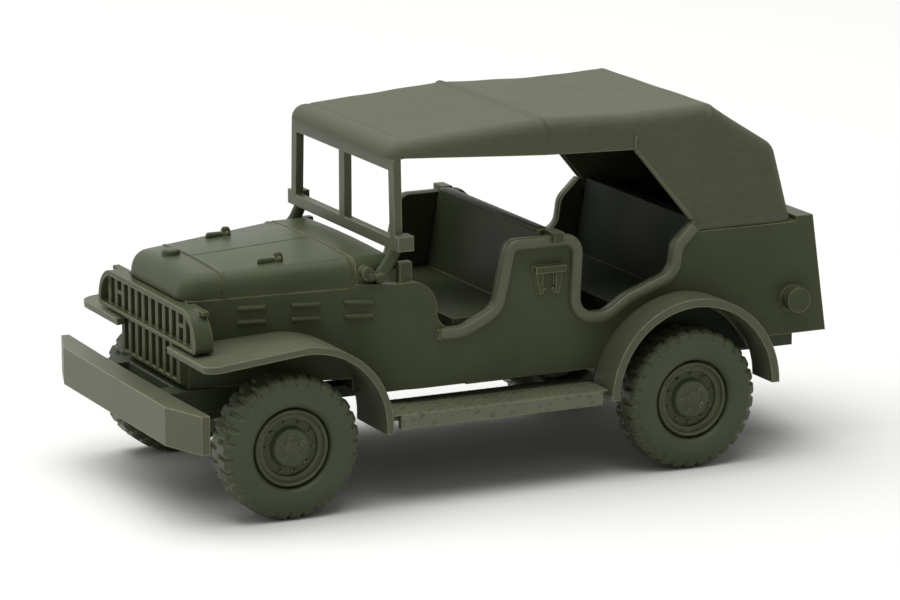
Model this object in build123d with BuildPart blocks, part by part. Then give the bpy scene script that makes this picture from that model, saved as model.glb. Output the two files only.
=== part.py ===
"""Scale model of a light army command car with a fixed folding-top body, all moulded in one olive plastic.

Millimetres. X runs to the vehicle's left, -Y is its front, Z is up. The origin is on the floor, below the middle
of the length. Places along the car are measured from the two axles, so that the body follows the wheelbase.
"""

from build123d import *
import os

# Overall sizes
WHEELBASE = 28.6
FRONT_OVERHANG = 7.9
REAR_OVERHANG = 11.4
BODY_HALF = 8.3
BODY_FLOOR = 6.95
BELT = 15.35
WALL = 0.55

# Fits between pieces
RUNNING_FIT = 0.05
GLUE_GAP = 0.03

FRONT_AXLE = FRONT_OVERHANG - (FRONT_OVERHANG + WHEELBASE + REAR_OVERHANG) / 2
REAR_AXLE = FRONT_AXLE + WHEELBASE
FRONT_END = FRONT_AXLE - FRONT_OVERHANG
REAR_END = REAR_AXLE + REAR_OVERHANG

# Wheels, moulded in one piece with their tyres
TYRE_R = 4.65
TYRE_WIDTH = 2.94
TRACK_HALF = BODY_HALF + 1.07
RIM_R = 2.68
RING_R = 2.36
RING_WIDTH = 0.24
HUB_R = 1.15
CAP_R = 0.5
DISC_FACE = 0.72
RIM_FACE = 1.07
CAP_FACE = 1.37
BACK_R = 3.3
BACK_FACE = -0.18
PIN_R = 0.5
BORE_END = 0.3

# Engine bay and hood
NOSE = FRONT_AXLE - 4.7
NOSE_FRONT = NOSE - 0.3
NOSE_CREASE = FRONT_AXLE - 2.55
HOOD_REAR = FRONT_AXLE + 5.85
COWL_REAR = FRONT_AXLE + 7.5
NOSE_HALF = 4.9
HOOD_HALF = BODY_HALF - 1.3
FLARE_LENGTH = 3.2
SEAM_FRONT = 13.4
SEAM_REAR = 13.7
BAY_BOTTOM = 7.75
HOOD_WALL = 0.8
SHOULDER_FRONT = 14.92
SHOULDER_REAR = 15.5
CROWN_FRONT = 15.08
CROWN_REAR = 15.66
SHOULDER_R = 0.9
NOSE_EDGE_R = 1.0
NOSE_LEAN = 0.15
NOSE_CORNER_R = 0.5
GROOVE_WIDTH = 0.15
GROOVE_DEPTH = 0.12
SCUTTLE_REAR = FRONT_AXLE + 8.4
SCUTTLE_THICK = 0.8

# Handles and cap on the hood
HANDLE_X = HOOD_HALF - 2.75
HANDLE_Y = FRONT_AXLE + 1.2
HANDLE_BAR = (0.35, 1.5, 0.3)
HANDLE_GRIP = (0.55, 0.4, 0.6)
CAP_X = -1.2
CAP_Y = NOSE_CREASE - 0.75
CAP_BUTTON_R = 0.55
CAP_RISE = 0.25

# Door line along the body side
DOOR_FRONT = FRONT_AXLE + 11.1
PILLAR_FRONT = FRONT_AXLE + 15.1
PILLAR_REAR = REAR_AXLE - 7.25
QUARTER = REAR_AXLE + 1.2
COWL_SIDE_TOP = 13.9
SILL = 10.7
PILLAR_TOP = 16.05
BEAD_WIDTH = 0.62
BEAD_RISE = 0.28

# Rear of the body
DECK_FRONT = REAR_AXLE + 8.85
DECK_TOP = 15.7
DECK_LEDGE = 0.9
REAR_TOP = REAR_AXLE + 10.1
REAR_BOTTOM = 7.75
GATE_HALF = BODY_HALF - 1.7
GATE_RISE = 0.2

# Small forms moulded on the body: louvres, catches, filler cap and windscreen hinges
LOUVRE_STATIONS = [FRONT_AXLE - 0.65, FRONT_AXLE + 2.8, FRONT_AXLE + 6.15]
LOUVRE_ROWS = [11.85, 12.75]
LOUVRE_LENGTH = 1.7
LOUVRE_WIDTH = 0.28
LOUVRE_RISE = 0.16
CATCH_WIDTH = 2.15
CATCH_FOOT_WIDTH = 1.4
CATCH_HEIGHT = 1.85
CATCH_Y = (PILLAR_FRONT + PILLAR_REAR) / 2 + 0.8
CATCH_Z = 13.27
CATCH_RISE = 0.25
CATCH_HOOD = 0.45
CATCH_HOOD_RISE = 0.5
CATCH_SLOT = 0.9
PILLAR_BLOCK = (0.75, 0.7, 0.35)
FILLER_Y = REAR_AXLE + 8.6
FILLER_Z = 10.2
FILLER_R = 0.85
FILLER_RISE = 1.0
HINGE_POST = (0.6, 0.85, 1.35)
HINGE_BOSS_R = 0.42
HINGE_BOSS_LENGTH = 1.3

# Windscreen
WINDSCREEN = FRONT_AXLE + 8.2
WS_HALF_FOOT = BODY_HALF - 0.15
WS_HALF_HEAD = BODY_HALF - 0.35
WS_BOTTOM = 16.1
WS_TOP = 21.95
WS_DEPTH = 0.55
WS_POST = 0.75
WS_SILL = 0.75
WS_HEAD = 0.8
WS_MIDDLE = 0.8

PIVOT_WIDTH = 1.1
PIVOT_LENGTH = 1.1
PIVOT_HEIGHT = 0.95
ARM_X = BODY_HALF - 1.1
ARM_THICK = 0.55
ARM_WIDTH = 0.75

# Top, moulded as one stiff shell
TOP_HALF = BODY_HALF - 0.2
TOP_WALL = 0.6
TOP_SHOULDER_R = 0.8
TOP_FRONT = WINDSCREEN - 0.25
TOP_FRONT_Z = 22.9
BOW_1 = FRONT_AXLE + 18.8
BOW_1_Z = 23.65
BOW_2 = REAR_AXLE + 2.6
BOW_2_Z = 23.6
TOP_SAG = 0.22
TOP_HIP = REAR_AXLE + 7.4
TOP_HIP_Z = 20.5
TOP_REAR = REAR_AXLE + 9.0
TOP_FOOT = 14.5
VALANCE_MIDDLE_Z = 21.35
VALANCE_REAR = REAR_AXLE - 3.1
VALANCE_REAR_Z = 21.15

# Fenders and running boards
FENDER_HALF = BODY_HALF + 2.7
FENDER_THICK = 0.45
FENDER_FRONT = FRONT_AXLE - 5.9
FENDER_FRONT_Z = 10.5
FENDER_TOP = 11.75
FENDER_BEND_R = 5.8
FENDER_CORNER_R = 1.0
FENDER_INNER = 4.3
APRON = FRONT_AXLE + 6.8
APRON_INNER = BODY_HALF - 2.0
APRON_BOTTOM = 4.9
ARCH_R = 6.2
ARCH_THICK = 0.55
ARCH_Z = 5.3
WELL_R = 5.4
BOARD_HALF = FENDER_HALF - 0.2
BOARD_INNER = BODY_HALF - 1.6
BOARD_TOP = 6.0
BOARD_THICK = 0.45
BOARD_LIP = 0.9
BOARD_TAB = 0.6
BOARD_TAB_X = BODY_HALF + 0.3
BOARD_TAB_WIDTH = 1.6

# Chassis
RAIL_INNER = 3.7
RAIL_OUTER = 5.3
GEAR_BLOCK = 0.55
RAIL_BOTTOM = 6.15
HORN_TOP = 7.7
HORN_BOTTOM = 5.7
PAN_TOP = 7.0
PAN_THICK = 0.5
CROSS_BOTTOM = 5.9
AXLE_TUBE_R = 0.95
AXLE_TUBE_GAP = 0.3
DIFF_R = 1.7
SPRING_HALF = 4.4
SPRING_SHORT = 2.6
SPRING_WIDTH = 1.1
SPRING_LEAF = 0.4
SPRING_TOP = 6.05
SPRING_EYE = 0.7

# Bumper
BUMPER_HALF = FENDER_HALF + 1.1
BUMPER_BEND = BODY_HALF + 0.5
BUMPER_SWEEP = 1.1
BUMPER_BOTTOM = 5.33
BUMPER_TOP = 7.82
BUMPER_THICK = 0.55
BUMPER_FLANGE = 1.5
BUMPER_FLANGE_HALF = 5.6
FLANGE_THICK = 0.4

# Grille
GRILLE_FACE = NOSE - 0.6
GRILLE_HALF = 8.25
GRILLE_BOTTOM = 8.15
GRILLE_BAR_Z = 10.75
GRILLE_TOP = 13.3
GRILLE_CORNER_R = 2.2
HOOP_PROUD = 0.3
HOOP_WIDTH = 0.35
HOOP_DEPTH = 0.95
HOOP_FOOT_R = 0.3
EAR_X = 6.8
EAR_WIDTH = 1.6
EAR_DEPTH = 0.45
EAR_THICK = 0.25
GRILLE_THICK = 0.55
TIE_WIDTH = 0.22
TIE_Z = 12.0
SLOT_PITCH = 1.165
SLOT_WIDTH = 0.74
UPPER_SLOTS = 14
LOWER_SLOTS = 8
TIE_SLOT = 4.5

# Interior
FLOOR_THICK = 0.6
FLOOR_STEP = REAR_AXLE + 4.0
FLOOR_SIDE_GAP = 0.05
WELL_PANEL = 0.4
SEAT_SIDE_GAP = 0.3
CUSHION_TOP = 11.1
CUSHION_THICK = 1.4
CUSHION_LIP = 0.5
BACK_THICK = 0.75
BACK_LEAN = 0.9

FAR = 40
SIDES = {"left": 1, "right": -1}

os.makedirs("parts", exist_ok=True)


def plan_half(inset):
    """Half of the body's plan outline, nose to rear, moved inwards by a wall."""
    slope = (HOOD_HALF - NOSE_HALF) / (HOOD_REAR - NOSE)
    return [
        (0, NOSE + inset),
        (NOSE_HALF - inset + slope * inset, NOSE + inset),
        (HOOD_HALF - inset, HOOD_REAR),
        (BODY_HALF - inset, HOOD_REAR + FLARE_LENGTH),
        (BODY_HALF - inset, REAR_END + inset),
        (0, REAR_END + inset),
    ]


def plan_outline(inset, height=0):
    """The whole plan outline as a level sketch at a height, with the flare of the cowl rounded."""
    with BuildSketch(Plane.XY.offset(height)) as outline:
        with BuildLine():
            half = FilletPolyline(*plan_half(inset), radius=[0, 5, 5, 0])
            Line(half @ 1, half @ 0)
        make_face()
        mirror(about=Plane.YZ)
    return outline.sketch


def hood_section(y, inset):
    """Cross section of the hood at a station: straight sides, rounded shoulders and a crowned top."""
    t = (y - NOSE) / (HOOD_REAR - NOSE)
    half = NOSE_HALF + t * (HOOD_HALF - NOSE_HALF) - inset
    seam = SEAM_FRONT + t * (SEAM_REAR - SEAM_FRONT)
    shoulder = SHOULDER_FRONT + t * (SHOULDER_REAR - SHOULDER_FRONT) - inset
    crown = CROWN_FRONT + t * (CROWN_REAR - CROWN_FRONT) - inset
    with BuildSketch(Plane.XZ.offset(-y)) as section:
        with BuildLine():
            Polyline((-half, shoulder), (-half, seam), (half, seam), (half, shoulder))
            ThreePointArc((half, shoulder), (0, crown), (-half, shoulder))
        make_face()
        fillet(section.vertices().group_by(Axis.Y)[-1], SHOULDER_R - inset / 2)
    return section.sketch


# Body side: the door line from the cowl to the rear quarter, with the radius of each corner
# columns: station, height, corner radius
DOOR_LINE = [
    (HOOD_REAR, COWL_SIDE_TOP, 0),
    (WINDSCREEN + 0.3, COWL_SIDE_TOP, 3.0),
    (DOOR_FRONT, COWL_SIDE_TOP + 0.3, 1.8),
    (DOOR_FRONT, SILL, 1.2),
    (DOOR_FRONT + 1.7, SILL, 1.3),
    (PILLAR_FRONT, SILL + 1.05, 1.2),
    (PILLAR_FRONT + 0.95, PILLAR_TOP, 0.9),
    (PILLAR_REAR + 0.1, PILLAR_TOP, 1.2),
    (PILLAR_REAR - 0.15, SILL, 1.1),
    (PILLAR_REAR + 1.85, SILL, 1.2),
    (QUARTER - 5.0, SILL + 1.0, 2.0),
    (QUARTER - 1.85, SILL + 2.15, 1.1),
    (QUARTER - 1.6, SILL + 4.0, 1.2),
    (QUARTER - 0.2, SILL + 5.35, 0),
    (QUARTER, SILL + 5.35, 0),
    (QUARTER, BELT, 0),
]


def door_line(first, last):
    """The stretch of the door line between two corners of its table."""
    corners = DOOR_LINE[first:last]
    return FilletPolyline(
        *[(y, z) for y, z, radius in corners],
        radius=[radius for y, z, radius in corners[1:-1]],
    )


# The bead runs along these corners of the door line
BEAD_FIRST = 3
BEAD_LAST = len(DOOR_LINE) - 2


def wall_half(station):
    """Half width of the body over its outer faces at a station, before the flare is rounded."""
    points = plan_half(0)[1:5]
    for (x0, y0), (x1, y1) in zip(points, points[1:]):
        if y0 <= station <= y1:
            return x0 + (x1 - x0) * (station - y0) / (y1 - y0)
    return BODY_HALF


def bay_side(station, length, height, side):
    """Plane lying on the side of the engine bay over a length, facing outwards, x axis along the car."""
    y0 = station - length / 2
    y1 = station + length / 2
    x0 = wall_half(y0)
    x1 = wall_half(y1)
    return Plane(
        origin=(side * (x0 + x1) / 2, station, height),
        x_dir=(side * (x1 - x0), y1 - y0, 0),
        z_dir=(side * (y1 - y0), x0 - x1, 0),
    )


# Scuttle: the hood's section carried on to the windscreen, behind a groove, and thin past the bulkhead
with BuildPart() as scuttle:
    extrude(hood_section(HOOD_REAR, GROOVE_DEPTH), HOOD_REAR - COWL_REAR)
    extrude(hood_section(HOOD_REAR, 0), HOOD_REAR - SCUTTLE_REAR)
    with Locations((0, HOOD_REAR, 0)):
        Box(FAR, 2 * GROOVE_WIDTH, FAR, mode=Mode.SUBTRACT)
    extrude(hood_section(HOOD_REAR, GROOVE_DEPTH), HOOD_REAR - COWL_REAR)
    with Locations((0, COWL_REAR, SHOULDER_REAR - SCUTTLE_THICK)):
        Box(
            FAR,
            2 * (SCUTTLE_REAR - COWL_REAR),
            FAR,
            align=(Align.CENTER, Align.MIN, Align.MAX),
            mode=Mode.SUBTRACT,
        )

with BuildPart() as tub:
    # Side profile across the whole width, kept inside the plan outline
    with BuildSketch(Plane.YZ):
        with BuildLine():
            doors = door_line(0, len(DOOR_LINE))
            Polyline(
                doors @ 1,
                (DECK_FRONT, BELT),
                (DECK_FRONT, DECK_TOP),
                (REAR_TOP, DECK_TOP),
                (REAR_END - GATE_RISE, REAR_BOTTOM),
                (REAR_AXLE + ARCH_R, REAR_BOTTOM),
                (REAR_AXLE, REAR_BOTTOM),
                (REAR_AXLE, BODY_FLOOR),
                (APRON, BODY_FLOOR),
                (APRON, BAY_BOTTOM),
                (NOSE, BAY_BOTTOM),
                (NOSE, SEAM_FRONT),
                (HOOD_REAR, SEAM_REAR),
                doors @ 0,
            )
        make_face()
    extrude(amount=FAR, both=True)
    add(extrude(plan_outline(0), FAR, mode=Mode.PRIVATE), mode=Mode.INTERSECT)
    # Hollow inside, with the rear wall left standing
    with BuildSketch(Plane.YZ):
        Polygon(
            (NOSE + WALL, 0),
            (REAR_END - GATE_RISE - WALL, 0),
            (REAR_END - GATE_RISE - WALL, REAR_BOTTOM),
            (REAR_TOP - WALL, DECK_TOP),
            (REAR_TOP - WALL, FAR),
            (NOSE + WALL, FAR),
            align=None,
        )
    hollow = extrude(amount=FAR, both=True, mode=Mode.PRIVATE)
    add(hollow & extrude(plan_outline(WALL), FAR, mode=Mode.PRIVATE), mode=Mode.SUBTRACT)
    # Wheel wells behind the rear fenders
    with BuildSketch(Plane.YZ):
        with Locations((REAR_AXLE, ARCH_Z)):
            Circle(WELL_R)
        with Locations((REAR_AXLE, ARCH_Z - WELL_R)):
            Rectangle(2 * WELL_R, 2 * WELL_R)
    extrude(amount=FAR, both=True, mode=Mode.SUBTRACT)

    # Bulkhead and cowl deck between the hood and the windscreen
    with BuildSketch(Plane.XZ.offset(-HOOD_REAR)):
        with Locations((0, (BODY_FLOOR + COWL_SIDE_TOP) / 2)):
            Rectangle(2 * HOOD_HALF - WALL, COWL_SIDE_TOP - BODY_FLOOR)
    extrude(amount=HOOD_REAR - COWL_REAR)
    add(scuttle.part)
    # Deck behind the top, over the tailgate, with a ledge below the top's rear wall
    with BuildSketch(Plane.YZ):
        Polygon(
            (DECK_FRONT - DECK_LEDGE, BELT),
            (DECK_FRONT, BELT),
            (DECK_FRONT, DECK_TOP),
            (REAR_TOP - WALL / 2, DECK_TOP),
            (REAR_TOP - WALL / 2, DECK_TOP - WALL),
            (DECK_FRONT - DECK_LEDGE, DECK_TOP - WALL),
            align=None,
        )
    extrude(amount=BODY_HALF - WALL / 2, both=True)
    # Raised bead along the edge of both side openings
    for side in SIDES.values():
        with BuildSketch(Plane.YZ.offset(side * BODY_HALF)):
            with BuildLine():
                door_line(BEAD_FIRST, BEAD_LAST)
                offset(amount=BEAD_WIDTH, side=Side.RIGHT, closed=True)
            make_face()
        extrude(amount=side * BEAD_RISE)
    # Louvres in three pairs on each side of the engine bay
    for side in SIDES.values():
        for station in LOUVRE_STATIONS:
            for row in LOUVRE_ROWS:
                with BuildSketch(bay_side(station, LOUVRE_LENGTH, row, side)):
                    Rectangle(LOUVRE_LENGTH, LOUVRE_WIDTH)
                extrude(amount=LOUVRE_RISE, both=True)
    # Windscreen hinge post and boss on each cowl side
    for side in SIDES.values():
        post_x, post_y, post_z = HINGE_POST
        with Locations((side * (BODY_HALF - post_x), WINDSCREEN + post_y, COWL_SIDE_TOP + post_z / 2)):
            Box(*HINGE_POST)
        with Locations((side * HOOD_HALF, HOOD_REAR + 0.75, COWL_SIDE_TOP + 0.75)):
            Cylinder(HINGE_BOSS_R, HINGE_BOSS_LENGTH, rotation=(0, 90, 0))
    # Hooded catch on each pillar, open below
    for side in SIDES.values():
        with BuildSketch(Plane.YZ.offset(side * BODY_HALF)):
            with Locations((CATCH_Y, CATCH_Z)):
                Polygon(
                    (-CATCH_WIDTH / 2, CATCH_HEIGHT / 2),
                    (CATCH_WIDTH / 2, CATCH_HEIGHT / 2),
                    (CATCH_FOOT_WIDTH / 2, -CATCH_HEIGHT / 2),
                    (-CATCH_FOOT_WIDTH / 2, -CATCH_HEIGHT / 2),
                    align=None,
                )
                with Locations((0, -CATCH_HOOD)):
                    Rectangle(CATCH_SLOT, CATCH_HEIGHT, mode=Mode.SUBTRACT)
        extrude(amount=side * CATCH_RISE)
        with BuildSketch(Plane.YZ.offset(side * BODY_HALF)):
            with Locations((CATCH_Y, CATCH_Z + CATCH_HEIGHT / 2)):
                Rectangle(CATCH_WIDTH, CATCH_HOOD, align=(Align.CENTER, Align.MAX))
        extrude(amount=side * CATCH_HOOD_RISE)
        # Small block on the pillar's top
        with Locations((side * BODY_HALF, CATCH_Y + CATCH_SLOT / 2, PILLAR_TOP)):
            Box(
                2 * PILLAR_BLOCK[0],
                PILLAR_BLOCK[1],
                2 * PILLAR_BLOCK[2],
            )
    # Filler cap on the left side
    with BuildSketch(Plane.YZ.offset(BODY_HALF)):
        with Locations((FILLER_Y, FILLER_Z)):
            Circle(FILLER_R)
    extrude(amount=FILLER_RISE)
    # Tailgate as a raised panel on the sloping rear wall
    rear_wall = Plane(
        origin=(0, REAR_END - GATE_RISE, REAR_BOTTOM),
        x_dir=(-1, 0, 0),
        z_dir=(0, DECK_TOP - REAR_BOTTOM, REAR_END - GATE_RISE - REAR_TOP),
    )
    with BuildSketch(rear_wall):
        Rectangle(2 * GATE_HALF, DECK_TOP - REAR_BOTTOM - WALL, align=(Align.CENTER, Align.MIN))
    extrude(amount=GATE_RISE)

tub.part.label = "body_tub"
export_step(tub.part, "parts/body_tub.step")

with BuildPart() as hood:
    loft([hood_section(NOSE_FRONT, 0), hood_section(HOOD_REAR, 0)])
    # The nose falls away in front of the cross crease, down to the top of the grille
    with BuildSketch(Plane.YZ):
        with BuildLine():
            front = FilletPolyline(
                (NOSE_FRONT, SEAM_FRONT),
                (NOSE_FRONT + NOSE_LEAN, CROWN_FRONT - GROOVE_DEPTH),
                (NOSE_CREASE, CROWN_REAR),
                radius=NOSE_EDGE_R,
            )
            Polyline(
                front @ 0,
                (NOSE_FRONT, 0),
                (HOOD_REAR, 0),
                (HOOD_REAR, FAR),
                (NOSE_CREASE, FAR),
                front @ 1,
            )
        make_face()
    extrude(amount=FAR, both=True, mode=Mode.INTERSECT)
    # Upright corners of the nose, rounded in plan
    slope = (HOOD_HALF - NOSE_HALF) / (HOOD_REAR - NOSE)
    with BuildSketch() as plan:
        Polygon(
            (-NOSE_HALF - slope * (NOSE_FRONT - NOSE), NOSE_FRONT),
            (NOSE_HALF + slope * (NOSE_FRONT - NOSE), NOSE_FRONT),
            (HOOD_HALF, HOOD_REAR),
            (-HOOD_HALF, HOOD_REAR),
            align=None,
        )
        fillet(plan.vertices().group_by(Axis.Y)[0], NOSE_CORNER_R)
    extrude(amount=FAR, mode=Mode.INTERSECT)
    inside = loft(
        [hood_section(NOSE_CREASE - 0.8, HOOD_WALL), hood_section(HOOD_REAR, HOOD_WALL)],
        mode=Mode.PRIVATE,
    )
    add(inside, mode=Mode.SUBTRACT)
    # Grooves: one across behind the nose and down both sides, and one for the hinge along the middle
    core = loft(
        [hood_section(NOSE_FRONT, GROOVE_DEPTH), hood_section(HOOD_REAR, GROOVE_DEPTH)],
        mode=Mode.PRIVATE,
    )
    across_groove = Box(FAR, GROOVE_WIDTH, FAR, mode=Mode.PRIVATE).moved(Location((0, NOSE_CREASE, SEAM_REAR)))
    hinge_groove = Box(
        GROOVE_WIDTH,
        HOOD_REAR - NOSE_CREASE,
        FAR,
        align=(Align.CENTER, Align.MIN, Align.MIN),
        mode=Mode.PRIVATE,
    ).moved(Location((0, NOSE_CREASE, SEAM_REAR)))
    add(across_groove + hinge_groove - core, mode=Mode.SUBTRACT)
    # A handle on each half, and a round cap on the nose
    for side in SIDES.values():
        with Locations((side * HANDLE_X, HANDLE_Y, SHOULDER_REAR)):
            Box(*HANDLE_BAR)
            with Locations((0, HANDLE_BAR[1] / 2, 0)):
                Box(*HANDLE_GRIP)
    with Locations((CAP_X, CAP_Y, CROWN_FRONT)):
        Cylinder(CAP_BUTTON_R, 2 * CAP_RISE)

hood.part.label = "hood"
export_step(hood.part, "parts/hood.step")


# Grille: a hooped upper frame, a narrow throat below it, and slots at one pitch through both
def hoop_outline(station, inset):
    """The hoop's outline as a sketch facing forwards, moved inwards by a width."""
    bottom = GRILLE_BAR_Z + min(inset, TIE_WIDTH)
    with BuildSketch(Plane.XZ.offset(-station)) as outline:
        with Locations((0, bottom)):
            Rectangle(
                2 * (GRILLE_HALF - inset),
                GRILLE_TOP - inset - bottom,
                align=(Align.CENTER, Align.MIN),
            )
        fillet(outline.vertices().group_by(Axis.Y)[0], max(HOOP_FOOT_R - inset, 0.1))
        fillet(outline.vertices().group_by(Axis.Y)[-1], GRILLE_CORNER_R - inset)
    return outline.sketch


with BuildPart() as slots:
    # Upper slots end along the hoop, and one on each side is crossed by a short tie
    with BuildSketch(Plane.XZ.offset(-GRILLE_FACE)):
        with Locations((0, (GRILLE_BAR_Z + GRILLE_TOP) / 2)):
            with GridLocations(SLOT_PITCH, 1, UPPER_SLOTS, 1):
                Rectangle(SLOT_WIDTH, GRILLE_TOP - GRILLE_BAR_Z)
        with Locations((-TIE_SLOT * SLOT_PITCH, TIE_Z), (TIE_SLOT * SLOT_PITCH, TIE_Z)):
            Rectangle(SLOT_PITCH, TIE_WIDTH, mode=Mode.SUBTRACT)
    extrude(amount=-GRILLE_THICK)
    extrude(hoop_outline(GRILLE_FACE, HOOP_WIDTH), amount=-GRILLE_THICK, mode=Mode.INTERSECT)
    # Lower slots at the same pitch through the throat
    with BuildSketch(Plane.XZ.offset(-GRILLE_FACE)):
        with Locations((0, (GRILLE_BAR_Z + GRILLE_BOTTOM) / 2)):
            with GridLocations(SLOT_PITCH, 1, LOWER_SLOTS, 1):
                Rectangle(SLOT_WIDTH, GRILLE_BAR_Z - GRILLE_BOTTOM - 2 * TIE_WIDTH)
    extrude(amount=-GRILLE_THICK)

with BuildPart() as grille:
    # Hoop standing proud of the bars and running back over the nose
    extrude(hoop_outline(GRILLE_FACE - HOOP_PROUD, 0), amount=-HOOP_PROUD - HOOP_DEPTH)
    extrude(
        hoop_outline(GRILLE_FACE - HOOP_PROUD, HOOP_WIDTH),
        amount=-HOOP_PROUD - HOOP_DEPTH,
        mode=Mode.SUBTRACT,
    )
    # Plate inside the hoop, with the throat below it
    extrude(hoop_outline(GRILLE_FACE, HOOP_WIDTH / 2), amount=-GRILLE_THICK)
    with BuildSketch(Plane.XZ.offset(-GRILLE_FACE)):
        with Locations((0, GRILLE_BOTTOM)):
            Rectangle(
                2 * NOSE_HALF,
                GRILLE_BAR_Z - GRILLE_BOTTOM + TIE_WIDTH,
                align=(Align.CENTER, Align.MIN),
            )
    extrude(amount=-GRILLE_THICK)
    add(slots.part, mode=Mode.SUBTRACT)
    # Ears along the rear edge of the hoop's upper corners
    for side in SIDES.values():
        with Locations((side * EAR_X, GRILLE_FACE + HOOP_DEPTH, GRILLE_TOP)):
            Box(
                EAR_WIDTH,
                EAR_DEPTH,
                EAR_THICK,
                align=(Align.CENTER, Align.MAX, Align.MAX),
            )
    # Room for the nose of the engine bay
    with Locations((0, NOSE - GLUE_GAP, GRILLE_BOTTOM)):
        Box(
            2 * (NOSE_HALF + GLUE_GAP) + 2 * HOOP_DEPTH * (HOOD_HALF - NOSE_HALF) / (HOOD_REAR - NOSE),
            2 * HOOP_DEPTH,
            FAR,
            align=(Align.CENTER, Align.MIN, Align.MIN),
            mode=Mode.SUBTRACT,
        )

grille.part.label = "grille"
export_step(grille.part, "parts/grille.step")

with BuildPart() as windscreen:
    with BuildSketch(Plane.XZ.offset(-WINDSCREEN)):
        Polygon(
            (-WS_HALF_FOOT, WS_BOTTOM),
            (WS_HALF_FOOT, WS_BOTTOM),
            (WS_HALF_HEAD, WS_TOP),
            (-WS_HALF_HEAD, WS_TOP),
            align=None,
        )
        for side in SIDES.values():
            Polygon(
                (side * WS_MIDDLE / 2, WS_BOTTOM + WS_SILL),
                (side * (WS_HALF_FOOT - WS_POST), WS_BOTTOM + WS_SILL),
                (side * (WS_HALF_HEAD - WS_POST), WS_TOP - WS_HEAD),
                (side * WS_MIDDLE / 2, WS_TOP - WS_HEAD),
                align=None,
                mode=Mode.SUBTRACT,
            )
    extrude(amount=-WS_DEPTH)
    for side in SIDES.values():
        with Locations((side * WS_HALF_FOOT, WINDSCREEN, WS_BOTTOM)):
            Box(
                PIVOT_WIDTH,
                PIVOT_LENGTH,
                PIVOT_HEIGHT,
                align=(Align.CENTER, Align.MIN, Align.MIN),
            )

windscreen.part.label = "windscreen_frame"
export_step(windscreen.part, "parts/windscreen_frame.step")

# Arms that hold the windscreen up from the cowl sides, given by their front edge
# columns: distance behind the windscreen's face, height, corner radius
ARM_LINE = [
    (0.15, WS_BOTTOM - GLUE_GAP, 0),
    (-0.45, COWL_SIDE_TOP + 1.3, 0.6),
    (-1.1, COWL_SIDE_TOP + 0.45, 0.4),
    (-1.1, COWL_SIDE_TOP + GLUE_GAP, 0),
]
for name, side in SIDES.items():
    with BuildPart() as arm:
        with BuildSketch(Plane.YZ.offset(side * ARM_X)):
            with BuildLine():
                front_edge = FilletPolyline(
                    *[(WINDSCREEN + y, z) for y, z, radius in ARM_LINE],
                    radius=[radius for y, z, radius in ARM_LINE[1:-1]],
                )
                rear_edge = FilletPolyline(
                    *[(WINDSCREEN + y + ARM_WIDTH, z) for y, z, radius in ARM_LINE],
                    radius=[radius for y, z, radius in ARM_LINE[1:-1]],
                )
                Line(front_edge @ 0, rear_edge @ 0)
                Line(front_edge @ 1, rear_edge @ 1)
            make_face()
        extrude(amount=side * ARM_THICK)
    arm.part.label = f"windscreen_arm_{name}"
    export_step(arm.part, f"parts/windscreen_arm_{name}.step")

# The top: side profile across the width, rounded along its shoulders, then hollowed
# columns: station, height of the roof line, corner radius
TOP_LINE = [
    (TOP_FRONT, TOP_FOOT, 0),
    (TOP_FRONT, TOP_FRONT_Z, 0),
    (BOW_1, BOW_1_Z, 0),
    ((BOW_1 + BOW_2) / 2, BOW_1_Z - TOP_SAG, 0),
    (BOW_2, BOW_2_Z, 0),
    (TOP_HIP, TOP_HIP_Z, 0.9),
    (TOP_REAR, TOP_FOOT, 0),
]


def top_profile(inset):
    """Side profile of the top, moved inwards by its wall and left open at the foot."""
    with BuildSketch(Plane.YZ) as profile:
        with BuildLine():
            roof = FilletPolyline(
                *[(y, z) for y, z, radius in TOP_LINE],
                radius=[radius for y, z, radius in TOP_LINE[1:-1]],
            )
            Line(roof @ 1, roof @ 0)
        make_face()
        if inset:
            offset(amount=-inset, kind=Kind.INTERSECTION)
    return profile.sketch


with BuildPart() as top:
    extrude(top_profile(0), amount=TOP_HALF, both=True)
    side_edges = top.edges().filter_by(lambda edge: abs(edge.center().X) > TOP_HALF - GLUE_GAP)
    fillet(side_edges.filter_by(lambda edge: edge.bounding_box().max.Z > TOP_FRONT_Z - 1), TOP_SHOULDER_R)
    extrude(top_profile(TOP_WALL), amount=TOP_HALF - TOP_WALL, both=True, mode=Mode.SUBTRACT)
    # Cut off level above the body, and open at the sides from the windscreen to the rear quarter
    with BuildSketch(Plane.YZ):
        Polygon(
            (TOP_FRONT - 1, WS_TOP + GLUE_GAP),
            (WINDSCREEN + WS_DEPTH + GLUE_GAP, WS_TOP + GLUE_GAP),
            (BOW_1, VALANCE_MIDDLE_Z),
            (VALANCE_REAR, VALANCE_REAR_Z),
            (QUARTER + GLUE_GAP, SILL + 5.35),
            (QUARTER + GLUE_GAP, BELT + GLUE_GAP),
            (FAR, BELT + GLUE_GAP),
            (FAR, 0),
            (TOP_FRONT - 1, 0),
            align=None,
        )
    extrude(amount=FAR, both=True, mode=Mode.SUBTRACT)

top.part.label = "top_shell"
export_step(top.part, "parts/top_shell.step")

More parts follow.
